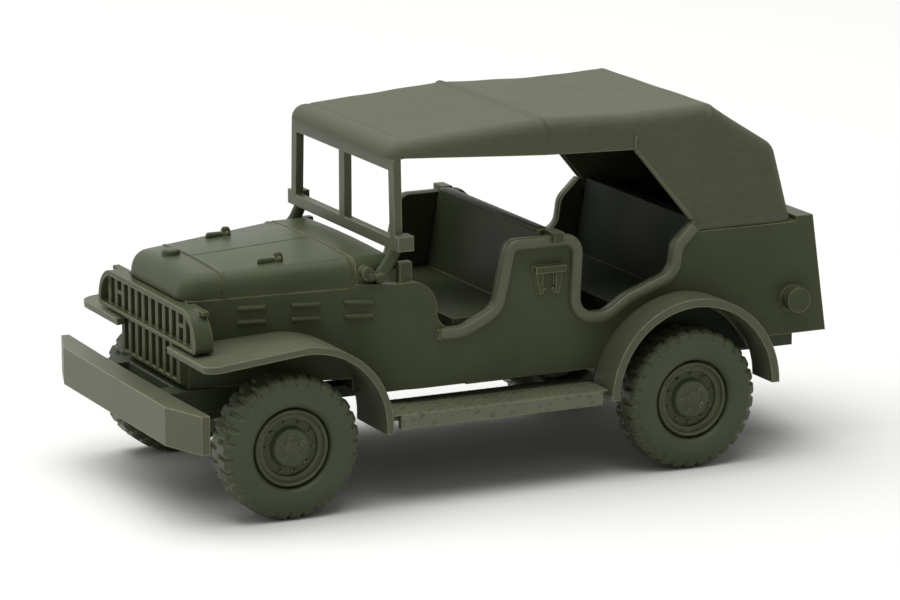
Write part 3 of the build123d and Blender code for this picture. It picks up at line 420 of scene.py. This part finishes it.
# Tyre from its outer bead over the tread to its inner bead, then the wheel's plain back
TYRE_LINE = [
    (1.34, 2.86, 0.3),
    (1.47, 3.45, 0.8),
    (1.42, 4.05, 0.6),
    (1.22, 4.45, 0.25),
    (0.92, 4.64, 0.2),
    (0.0, 4.66, 0),
    (-0.92, 4.64, 0.2),
    (-1.22, 4.45, 0.25),
    (-1.42, 4.05, 0.6),
    (-1.47, 3.45, 0.8),
    (-1.37, 3.1, 0.15),
    (-0.9, 2.95, 0.1),
    (-0.2, 2.9, 0.1),
    (-0.2, 1.3, 0.05),
    (-1.3, 1.3, 0.05),
    (-1.3, 0.53, 0),
]
TREAD_START = 4.02
# Flat of the tread, put in as even rows
TREAD_FROM = 4.62
TREAD_HALF = 0.92
TREAD_ROWS = 15

# Bolts in the disc's channel and lugs on its hub
# columns: how many, pitch radius, their own radius, height, height of their seat, turn
STUDS = [
    (10, 1.60, 0.14, 0.26, 0.51, 0.2),
    (5, 0.80, 0.14, 0.24, 1.08, 0.0),
]


def tread_cut(across, radius, turn):
    """How deep the grooves between the tread lugs cut at a place on the tyre.

    The depth is a trapezoid wave round the wheel, with one groove a lug, half a lug apart on the two halves
    of the tread. It fades out at the shoulder's foot and at the rib in the middle.
    """
    phase = turn * LUGS / (2 * np.pi) + np.where(across > 0, 0.0, 0.5)
    apart = np.abs((phase % 1.0) - 0.5)
    wave = np.clip((GROOVE_SHARE / 2 + 0.04 - apart) / 0.08, 0, 1)
    faded = ramp(radius, TREAD_START, TREAD_START + 0.2) * ramp(np.abs(across), 0.12, 0.2)
    return GROOVE_DEPTH * wave * faded


def turned_wheel(side, station, start):
    """A wheel as a profile turned about its axle: across, radius * cos(turn), radius * sin(turn).

    The tread's grooves take their depth off the radius and, on the shoulder, off the distance across.
    """
    line = rounded_line(DISC_LINE + TYRE_LINE, 4)
    tread_rows = np.stack(
        [np.linspace(TREAD_HALF, -TREAD_HALF, TREAD_ROWS), np.full(TREAD_ROWS, WHEEL_R)], axis=1
    )
    first = np.argmax(line[:, 1] > TREAD_FROM)
    last = len(line) - np.argmax(line[::-1, 1] > TREAD_FROM)
    line = np.vstack([line[:first], tread_rows, line[last:]])
    turn = start + np.linspace(0, 2 * np.pi, LUGS * LUG_STEPS, endpoint=False)
    across = line[:, :1] + 0 * turn
    radius = line[:, 1:] + 0 * turn
    cut = tread_cut(across, radius, turn - start)
    lean = ramp(np.abs(across), 0.85, 1.35)
    radius = radius - cut * (1 - 0.5 * lean)
    across = across - np.sign(across) * cut * 0.8 * lean
    x = side * (TRACK_HALF + across)
    return np.stack([x, station + radius * np.cos(turn), WHEEL_R + radius * np.sin(turn)], axis=-1)


# Each wheel stands at its own turn, as four wheels do when a car has been rolled by hand
# columns: place, side, station, turn
WHEELS = [
    ("front", "left", FRONT_AXLE, 0.35),
    ("front", "right", FRONT_AXLE, 1.15),
    ("rear", "left", REAR_AXLE, 1.95),
    ("rear", "right", REAR_AXLE, 2.75),
]
for place, hand, station, start in WHEELS:
    side = SIDES[hand]
    grids = [turned_wheel(side, station, start)]
    for count, pitch, size, height, seat, turned in STUDS:
        for angle in start + turned + 2 * np.pi * np.arange(count) / count:
            y = station + pitch * math.cos(angle)
            z = WHEEL_R + pitch * math.sin(angle)
            foot = (side * (TRACK_HALF + seat), y, z)
            grids.append(turned_knob(foot, size, height, 0.8 * size, (side, 0, 0), 12))
    surface(
        f"road_wheel_{place}_{hand}", grids, plastic["wheels"], f"{place}_wheelset",
        sharp=40, replaced=[f"wheel_{place}_{hand}"],
    )


# Folding top, moulded stiff

TOP_HALF = 8.1
TOP_WALL = 0.5
SHOULDER_R = 0.92
BELT_LINE = 15.38
TOP_FRONT = WINDSCREEN - 0.25
HEADER_TOP = 22.9
HEADER_FOOT = HEADER_TOP - SHOULDER_R
BOW_1 = 2.75
BOW_2 = 15.15

# Middle line of the roof from the windscreen to the body
# columns: station, height, corner radius
ROOF_LINE = [
    (TOP_FRONT, HEADER_FOOT, 0),
    (TOP_FRONT, HEADER_TOP, 0.94),
    (BOW_1, 23.65, 2.0),
    (8.95, 23.43, 40.0),
    (BOW_2, 23.6, 1.3),
    (19.95, 20.5, 1.4),
    (21.35, BELT_LINE, 0),
]
# Lower edge of the sides: station, height
SIDE_EDGE = [
    (TOP_FRONT, HEADER_FOOT),
    (TOP_FRONT + SHOULDER_R, HEADER_FOOT),
    (BOW_1, 21.35),
    (9.45, 21.15),
    (13.70, 16.05),
    (13.80, BELT_LINE),
    (21.5, BELT_LINE),
]
# Wavy crease that runs down from the rear bow: height, station
SIDE_CREASE = [(19.3, 13.70), (20.06, 13.95), (20.84, 14.16), (21.6, 14.67), (22.57, 14.85), (23.3, 15.1)]


def top_skin(depth, rows=400, side_steps=20, arc_steps=9, roof_steps=16):
    """One skin of the top, at a depth below its outer face.

    The roof line is swept across the car. Along the shoulder, an angle turns from the side to the roof: x is
    half - r + (r - depth) cos(angle), and the skin lies r - (r - depth) sin(angle) below the roof line, along
    its normal. Below the shoulder, the side falls straight to its lower edge, in steps that crowd there.
    """
    line = resampled(rounded_line(ROOF_LINE, 12), np.linspace(0, 1, rows))
    along = unit(np.gradient(line, axis=0))
    inward = np.stack([along[:, 1], -along[:, 0]], axis=1)
    angle = np.linspace(0, np.pi / 2, arc_steps)[None]
    reach = SHOULDER_R - depth
    drop = SHOULDER_R - reach * np.sin(angle)
    arc_x = TOP_HALF - SHOULDER_R + reach * np.cos(angle) + 0 * line[:, :1]
    arc_y = line[:, :1] + inward[:, :1] * drop
    arc_z = line[:, 1:] + inward[:, 1:] * drop
    edge_y, edge_z = np.array(SIDE_EDGE).T
    foot = np.minimum(np.interp(arc_y[:, :1], edge_y, edge_z), arc_z[:, :1])
    share = np.linspace(0, 1, side_steps, endpoint=False)[None] ** 2
    side_x = arc_x[:, :1] + 0 * share
    side_y = arc_y[:, :1] + 0 * share
    side_z = foot + (arc_z[:, :1] - foot) * share
    share = np.linspace(0, 1, roof_steps + 1)[None, 1:]
    roof_x = arc_x[:, -1:] * (1 - share)
    roof_y = arc_y[:, -1:] + 0 * share
    roof_z = arc_z[:, -1:] + 0 * share
    x = np.hstack([side_x, arc_x, roof_x])
    y = np.hstack([side_y, arc_y, roof_y])
    z = np.hstack([side_z, arc_z, roof_z])
    half = np.stack([x, y, z], axis=-1)
    half[..., 2] = np.maximum(half[..., 2], np.minimum(BELT_LINE, half[:, :1, 2]))
    return np.concatenate([half, half[:, -2::-1] * (-1, 1, 1)], axis=1)


def creased(skin):
    """The outer skin with what the canvas shows: bows, the header's seam, a hem and the side's wavy crease.

    Each is a bump across its own line, laid along the skin's normal.
    """
    normal = unit(np.cross(np.gradient(skin, axis=0), np.gradient(skin, axis=1)))
    normal *= np.sign(np.sum(normal * (skin - (0, 6.0, 16.0)), axis=-1, keepdims=True))
    x, y, z = np.moveaxis(skin, -1, 0)
    roof = ramp(z, 21.9, 22.5)
    side = ramp(np.abs(x), 7.3, 7.9)
    bow = BOW_1 + 0.05 * np.sin(0.9 * x)
    relief = (0.13 * bump(y, bow, 0.2) - 0.1 * bump(y, bow + 0.36, 0.13)) * roof
    relief += 0.05 * bump(y, BOW_2, 0.3) * roof
    relief -= 0.06 * bump(y, TOP_FRONT + 1.25, 0.12) * roof * (1 - side)
    crease_z, crease_y = np.array(SIDE_CREASE).T
    relief += 0.09 * bump(y, np.interp(z, crease_z, crease_y), 0.2) * side * ramp(z, 18.6, 20.2)
    edge_y, edge_z = np.array(SIDE_EDGE).T
    relief += 0.06 * (1 - ramp(z - np.interp(y, edge_y, edge_z), 0.2, 0.34)) * side * ramp(y, 13.6, 14.0)
    # Slack in the canvas, a few hundredths deep
    slack = np.sin(0.8 * x + 0.35 * y) * np.sin(0.55 * y - 0.3 * x) + 0.6 * np.sin(1.7 * y + 0.9 * z)
    relief += 0.02 * slack * ramp(y, TOP_FRONT + 1.5, TOP_FRONT + 4)
    return skin + normal * relief[..., None]


surface(
    "canvas_top", [walled(creased(top_skin(0)), top_skin(TOP_WALL))], plastic["top"],
    "chassis", sharp=50, replaced=["top_shell"],
)


# Hood

NOSE = -20.75
NOSE_FRONT = -21.05
NOSE_CREASE = -18.6
HOOD_REAR = -10.2
NOSE_HALF = 4.9
HOOD_HALF = 7.0
HOOD_WALL = 0.8
HOOD_SHOULDER = 1.0
SEAM_FRONT = 13.4
SEAM_RISE = 0.3
CROWN_FRONT = 15.08
CROWN_RISE = 0.58
CROWN_BOW = 0.16
NOSE_ROUNDING = 1.35
NOSE_FULLNESS = 2.3


def hood_skin(inset):
    """One skin of the hood, at an inset from its outer face: a row of arches from the nose to the windscreen.

    Each arch has straight sides, shoulders rounded by a quarter ellipse and a crowned top. At the nose the
    arches grow from nothing: their share of the full height is (1 - (1 - d / r)^p)^(1 / p), where d is the
    distance behind the front and r and p the nose's rounding and fullness, and their width follows.
    """
    nose = NOSE_FRONT + NOSE_ROUNDING * (1 - np.cos(np.linspace(0, np.pi / 2, 18)))
    around_crease = NOSE_CREASE + np.linspace(-0.3, 0.4, 29)
    ahead = np.linspace(nose[-1], around_crease[0], 8)[1:-1]
    behind = np.linspace(around_crease[-1], HOOD_REAR, 90)[1:]
    y = np.concatenate([nose, ahead, around_crease, behind])[:, None]
    y = np.maximum(y, NOSE_FRONT + inset)
    t = (y - NOSE) / (HOOD_REAR - NOSE)
    behind_front = np.clip((y - NOSE_FRONT - inset) / NOSE_ROUNDING, 0, 1)
    grown = (1 - (1 - behind_front) ** NOSE_FULLNESS) ** (1 / NOSE_FULLNESS)
    seam = SEAM_FRONT + SEAM_RISE * np.clip(t, 0, 1)
    crown = CROWN_FRONT + CROWN_RISE * t - inset
    shoulder = crown - CROWN_BOW
    half = NOSE_HALF + t * (HOOD_HALF - NOSE_HALF) - inset - (NOSE_ROUNDING - inset / 2) * (1 - grown)
    radius = (HOOD_SHOULDER - inset / 2) * grown
    tall = (shoulder - seam) * grown
    angle = np.linspace(0, np.pi / 2, 9)[None]
    arc_x = half - radius + radius * np.cos(angle)
    arc_z = seam + tall - radius + radius * np.sin(angle)
    share = np.linspace(0, 1, 8, endpoint=False)[None]
    side_x = half + 0 * share
    side_z = seam + (arc_z[:, :1] - seam) * share
    # Top: even steps, then close ones beside the hinge in the middle
    hinge = np.array([[0.3, 0.2, 0.14, 0.1, 0.06, 0.03, 0.0]])
    share = np.linspace(0, 1, 14)[None, 1:]
    top_x = np.hstack([arc_x[:, -1:] + (hinge[0, 0] - arc_x[:, -1:]) * share, hinge[:, 1:] + 0 * y])
    bowed = 1 - (top_x / arc_x[:, -1:]) ** 2
    top_z = arc_z[:, -1:] + (crown - shoulder) * grown * bowed
    x = np.hstack([side_x, arc_x, top_x])
    z = np.hstack([side_z, arc_z, top_z])
    arch = np.stack([x, y + 0 * x, z], axis=-1)
    return np.concatenate([arch, arch[:, -2::-1] * (-1, 1, 1)], axis=1)


def grooved(skin):
    """The hood's outer skin with its joints: one behind the nose, the hinge in the middle and a rear bead."""
    x, y, z = np.moveaxis(skin, -1, 0)
    normal = unit(np.cross(np.gradient(skin, axis=0), np.gradient(skin, axis=1)))
    normal *= np.sign(np.sum(normal * (skin - (0, -15.0, 13.0)), axis=-1, keepdims=True))
    relief = -0.13 * bump(y, NOSE_CREASE, 0.06)
    relief += 0.05 * bump(y, NOSE_CREASE + 0.2, 0.1)
    relief -= 0.11 * bump(x, 0, 0.06) * ramp(y, NOSE_CREASE, NOSE_CREASE + 0.1)
    relief += 0.09 * bump(y, HOOD_REAR - 0.22, 0.13) * ramp(np.abs(x), 5.2, 6.0)
    keep = ramp(y, NOSE_CREASE - 0.4, NOSE_CREASE - 0.2)
    return skin + normal * (relief * keep)[..., None]


surface(
    "hood_panels", [walled(grooved(hood_skin(0)), hood_skin(HOOD_WALL))], plastic["body"],
    "chassis", sharp=50, replaced=["hood"],
)

# Cap on the nose and two handles, each a grip, a latch and a cross bar
UP = (0, 0, 1)
HANDLE_X = 4.25
HANDLE_Y = -14.85
HANDLE_Z = 15.36
# columns: ends across and along the car, from the handle's middle; width, height
HANDLE_BARS = [
    ((0, -0.8), (0, 0.5), 0.46, 0.5),
    ((0, 0.25), (0, 0.95), 0.5, 1.1),
    ((-0.45, 0.62), (0.45, 0.62), 0.32, 0.5),
]
CAP = (-1.2, -19.35, 15.2)
hood_fittings = [turned_knob(CAP, 0.6, 0.3, 0.16)]
for side in SIDES.values():
    for *ends, width, height in HANDLE_BARS:
        path = [(side * HANDLE_X + x, HANDLE_Y + y, HANDLE_Z) for x, y in ends]
        hood_fittings.append(moulded_bar(path, UP, width, height))
surface("hood_fittings", hood_fittings, plastic["body"], "chassis")


# Louvres on the engine bay, rounded

LOUVRE_STATIONS = (-16.7, -13.25, -9.9)
LOUVRE_HEIGHTS = (11.85, 12.75)
LOUVRE_HALF = 0.95
LOUVRE_SECTION = (0.38, 0.42, 2.4)
FLARE_END = -7.0


def bay_half(station):
    """Half width of the engine bay at a station."""
    return np.interp(station, (NOSE, HOOD_REAR, FLARE_END), (NOSE_HALF, HOOD_HALF, BODY_HALF))


louvres = []
for side in SIDES.values():
    for station in LOUVRE_STATIONS:
        for height in LOUVRE_HEIGHTS:
            ends = [(side * bay_half(y), y, height) for y in (station - LOUVRE_HALF, station + LOUVRE_HALF)]
            louvres.append(moulded_bar(ends, (side, 0, 0), *LOUVRE_SECTION))
surface("bay_louvres", louvres, plastic["body"], "chassis")


# Rolled bead round the side openings, and what stands on the pillar between them

SILL = 10.7
PILLAR_TOP = 16.05
BEAD_WIDTH = 0.80
BEAD_RISE = 0.38
BEAD_MIDDLE = 0.31
BEAD_SQUARENESS = 2.6
BEAD_STEPS = 260
# Edge of the openings from the front door to the rear quarter
# columns: station, height, corner radius
DOOR_LINE = [
    (-4.95, SILL, 0),
    (-3.25, SILL, 1.3),
    (-0.95, SILL + 1.05, 1.2),
    (0.0, PILLAR_TOP, 0.9),
    (5.4, PILLAR_TOP, 1.2),
    (5.15, SILL, 1.1),
    (7.15, SILL, 1.2),
    (8.75, SILL + 1.0, 2.0),
    (11.9, SILL + 2.15, 1.1),
    (12.15, SILL + 4.0, 1.2),
    (13.55, SILL + 5.35, 0),
]
# Studs in the catch's recess: station, height
CATCH_STUDS = [(2.675, 12.61), (3.295, 12.61)]
STUD_R = 0.13
STUD_HEIGHT = 0.16
STUD_ROUNDING = 0.08


def opening_bead(side):
    """A bead along the openings' edge: a bar on the door line, moved half a bead away from the opening."""
    line = resampled(rounded_line(DOOR_LINE, 8), np.linspace(0, 1, BEAD_STEPS))
    along = unit(np.gradient(line, axis=0))
    line = line + BEAD_MIDDLE * np.stack([along[:, 1], -along[:, 0]], axis=1)
    path = np.column_stack([np.full(len(line), side * BODY_HALF), line])
    return moulded_bar(path, (side, 0, 0), BEAD_WIDTH, 2 * BEAD_RISE, BEAD_SQUARENESS, BEAD_STEPS, 20)


for hand, side in SIDES.items():
    grids = [opening_bead(side)]
    for y, z in CATCH_STUDS:
        foot = (side * BODY_HALF, y, z)
        grids.append(turned_knob(foot, STUD_R, STUD_HEIGHT, STUD_ROUNDING, (side, 0, 0), 14))
    # The bead and its studs are painted paler, a painted highlight
    surface(f"opening_bead_{hand}", grids, plastic["rubbed"], "chassis")


# Rolled lip along the front bench's back, and the hem and sliver of flash where the top's side opens

LIP_STATION = 3.125
LIP_HEIGHT = 16.2
LIP_HALF = 7.45
LIP_SECTION = (0.85, 0.5, 2.6)
HEM_SECTION = (0.3, 0.34)
FLASH_SECTION = (0.13, 0.24, 2.0)
# columns: station, height
HEM_LINE = [(9.5, 21.12), (13.66, 16.12)]
FLASH_LINE = [(9.42, 21.2), (9.36, 21.6), (9.46, 22.1)]

lip = [(-LIP_HALF, LIP_STATION, LIP_HEIGHT), (LIP_HALF, LIP_STATION, LIP_HEIGHT)]
surface("bench_lip", [moulded_bar(lip, UP, *LIP_SECTION)], plastic["body"], "chassis")
for hand, side in SIDES.items():
    hem = [(side * (TOP_HALF - 0.1), y, z) for y, z in HEM_LINE]
    flash = [(side * TOP_HALF, y, z) for y, z in FLASH_LINE]
    grids = [moulded_bar(hem, (side, 0, 0), *HEM_SECTION), moulded_bar(flash, (side, 0, 0), *FLASH_SECTION)]
    # Hem and flash painted paler, a painted highlight
    surface(f"opening_hem_{hand}", grids, plastic["rubbed"], "chassis")


# Windscreen arms: S-shaped, with a ball at the foot

ARM_X = 7.47
# columns: station, height, corner radius
ARM_LINE = [
    (WINDSCREEN + 0.52, 16.35, 0),
    (WINDSCREEN - 0.05, 15.25, 0.7),
    (WINDSCREEN - 0.75, 14.45, 0.5),
    (WINDSCREEN - 0.75, 13.95, 0),
]
for hand, side in SIDES.items():
    line = rounded_line([(side * ARM_X, *corner) for corner in ARM_LINE])
    foot = (side * ARM_X, WINDSCREEN - 0.75, 14.3)
    grids = [
        moulded_bar(line, (side, 0, 0), 0.8, 0.56),
        turned_knob(foot, 0.36, 0.42, 0.3, (side, 0, 0), 16),
        turned_knob((foot[0], foot[1] - 0.62, foot[2] + 0.12), 0.3, 0.38, 0.26, (side, 0, 0), 16),
    ]
    surface(
        f"screen_arm_{hand}", grids, plastic["body"], "chassis",
        replaced=[f"windscreen_arm_{hand}"],
    )


# Running boards

DASH_PITCH = (0.34, 0.66)
DASH_RELIEF = 0.05


def tread_plate(low, high):
    """Non-slip tread as a height over a level grid: short raised dashes along the car, in staggered rows.

    A dash's height falls off with the distance from its middle, stretched along its own direction.
    """
    inset = 0.12
    x, y = np.meshgrid(
        np.linspace(low[0] + inset, high[0] - inset, 80), np.linspace(low[1] + inset, high[1] - inset, 460)
    )
    row = np.round(x / DASH_PITCH[0])
    off_x = x / DASH_PITCH[0] - row
    place = y / DASH_PITCH[1] + 0.5 * (row % 2)
    off_y = place - np.round(place)
    distance = np.sqrt((off_x / 0.30) ** 2 + (off_y / 0.34) ** 2)
    z = high[2] + 0.01 + DASH_RELIEF * np.clip(1.6 - distance, 0, 0.9)
    border = np.zeros_like(z, bool)
    border[[0, -1]] = True
    border[:, [0, -1]] = True
    z = np.where(border, high[2] - 0.02, z)
    return np.stack([x, y, z], axis=-1)


for hand in SIDES:
    low, high = (np.array(corner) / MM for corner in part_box(f"running_board_{hand}"))
    surface(
        f"tread_plate_{hand}", [tread_plate(low, high)], plastic["boards"], "chassis",
        closed=False, sharp=60,
    )


# Finishes of the solids that stay

NODE_FINISHES = {
    "axles": ["axle_carrier_front", "axle_carrier_rear", "axle_pin_front", "axle_pin_rear", "chassis_frame"],
    # Floor tray and rear bench darkened as painted shade
    "inside": ["floor_tray", "rear_bench"],
    "boards": ["running_board_left", "running_board_right"],
    # Fenders, bumper and windscreen frame: paler, partly their own shade and partly painted light
    "fenders": [
        "front_fender_left", "front_fender_right", "rear_fender_left", "rear_fender_right", "bumper",
        "windscreen_frame",
    ],
}
finish_of = {name: plastic[place] for place, names in NODE_FINISHES.items() for name in names}
for name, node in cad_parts.items():
    for held in node.material_slots:
        held.material = finish_of.get(name, plastic["body"])


# Studio

FLOOR_SIZE = 3.0


def white_to_the_eye(tree, low):
    """A strength of 1 to the camera, in reflections and through glass, and low for what lights the car."""
    ray = add_node(tree, "ShaderNodeLightPath")
    glossy = add_node(
        tree, "ShaderNodeMath", {"operation": "MAXIMUM"},
        {0: ray.outputs["Is Camera Ray"], 1: ray.outputs["Is Glossy Ray"]}
    )
    seen = add_node(
        tree, "ShaderNodeMath", {"operation": "MAXIMUM"},
        {0: glossy.outputs["Value"], 1: ray.outputs["Is Transmission Ray"]}
    )
    return add_node(
        tree, "ShaderNodeMapRange", {"To Min": low, "To Max": 1.0}, {"Value": seen.outputs["Value"]}
    ).outputs["Result"]


def studio_floor():
    """A level white floor, matt, as a grid of four corners. It keeps the car's shadow."""
    half = FLOOR_SIZE / 2
    mesh = bpy.data.meshes.new("studio_floor")
    corners = [(-half, -half, 0), (half, -half, 0), (half, half, 0), (-half, half, 0)]
    mesh.from_pydata(corners, [], [(0, 1, 2, 3)])
    material, output = new_material("matt_paper_floor")
    tree = material.node_tree
    paper = add_node(tree, "ShaderNodeBsdfDiffuse", {"Color": linear("#ecece9")})
    tree.links.new(paper.outputs["BSDF"], output.inputs["Surface"])
    mesh.materials.append(material)
    floor = bpy.data.objects.new("studio_floor", mesh)
    bpy.context.scene.collection.objects.link(floor)


def studio_world(level):
    """Even pale light from all round, and plain white to the camera and in reflections."""
    world = bpy.data.worlds.new("studio_world")
    bpy.context.scene.world = world
    world.use_nodes = True
    tree = world.node_tree
    tree.nodes.clear()
    output = add_node(tree, "ShaderNodeOutputWorld")
    strength = white_to_the_eye(tree, level)
    light = add_node(tree, "ShaderNodeBackground", {"Color": linear("#ffffff")}, {"Strength": strength})
    tree.links.new(light.outputs["Background"], output.inputs["Surface"])


def lamp(name, place, size, watts):
    """A white square soft lamp at a place in metres, turned to face the car."""
    data = bpy.data.lights.new(name, "AREA")
    data.shape = "SQUARE"
    data.size = size
    data.energy = watts
    light = bpy.data.objects.new(name, data)
    bpy.context.scene.collection.objects.link(light)
    light.location = place
    toward = Vector((0, 0, 0.01)) - Vector(place)
    light.rotation_euler = toward.to_track_quat("-Z", "Y").to_euler()


studio_floor()
studio_world(0.26)
# Soft boxes: a wide one overhead and a little ahead of the car, and a small one low beyond its nose
lamp("soft_box_overhead", (-0.06, -0.10, 0.55), 0.70, 4.75)
lamp("soft_box_ahead", (-0.22, -0.50, 0.26), 0.50, 0.35)
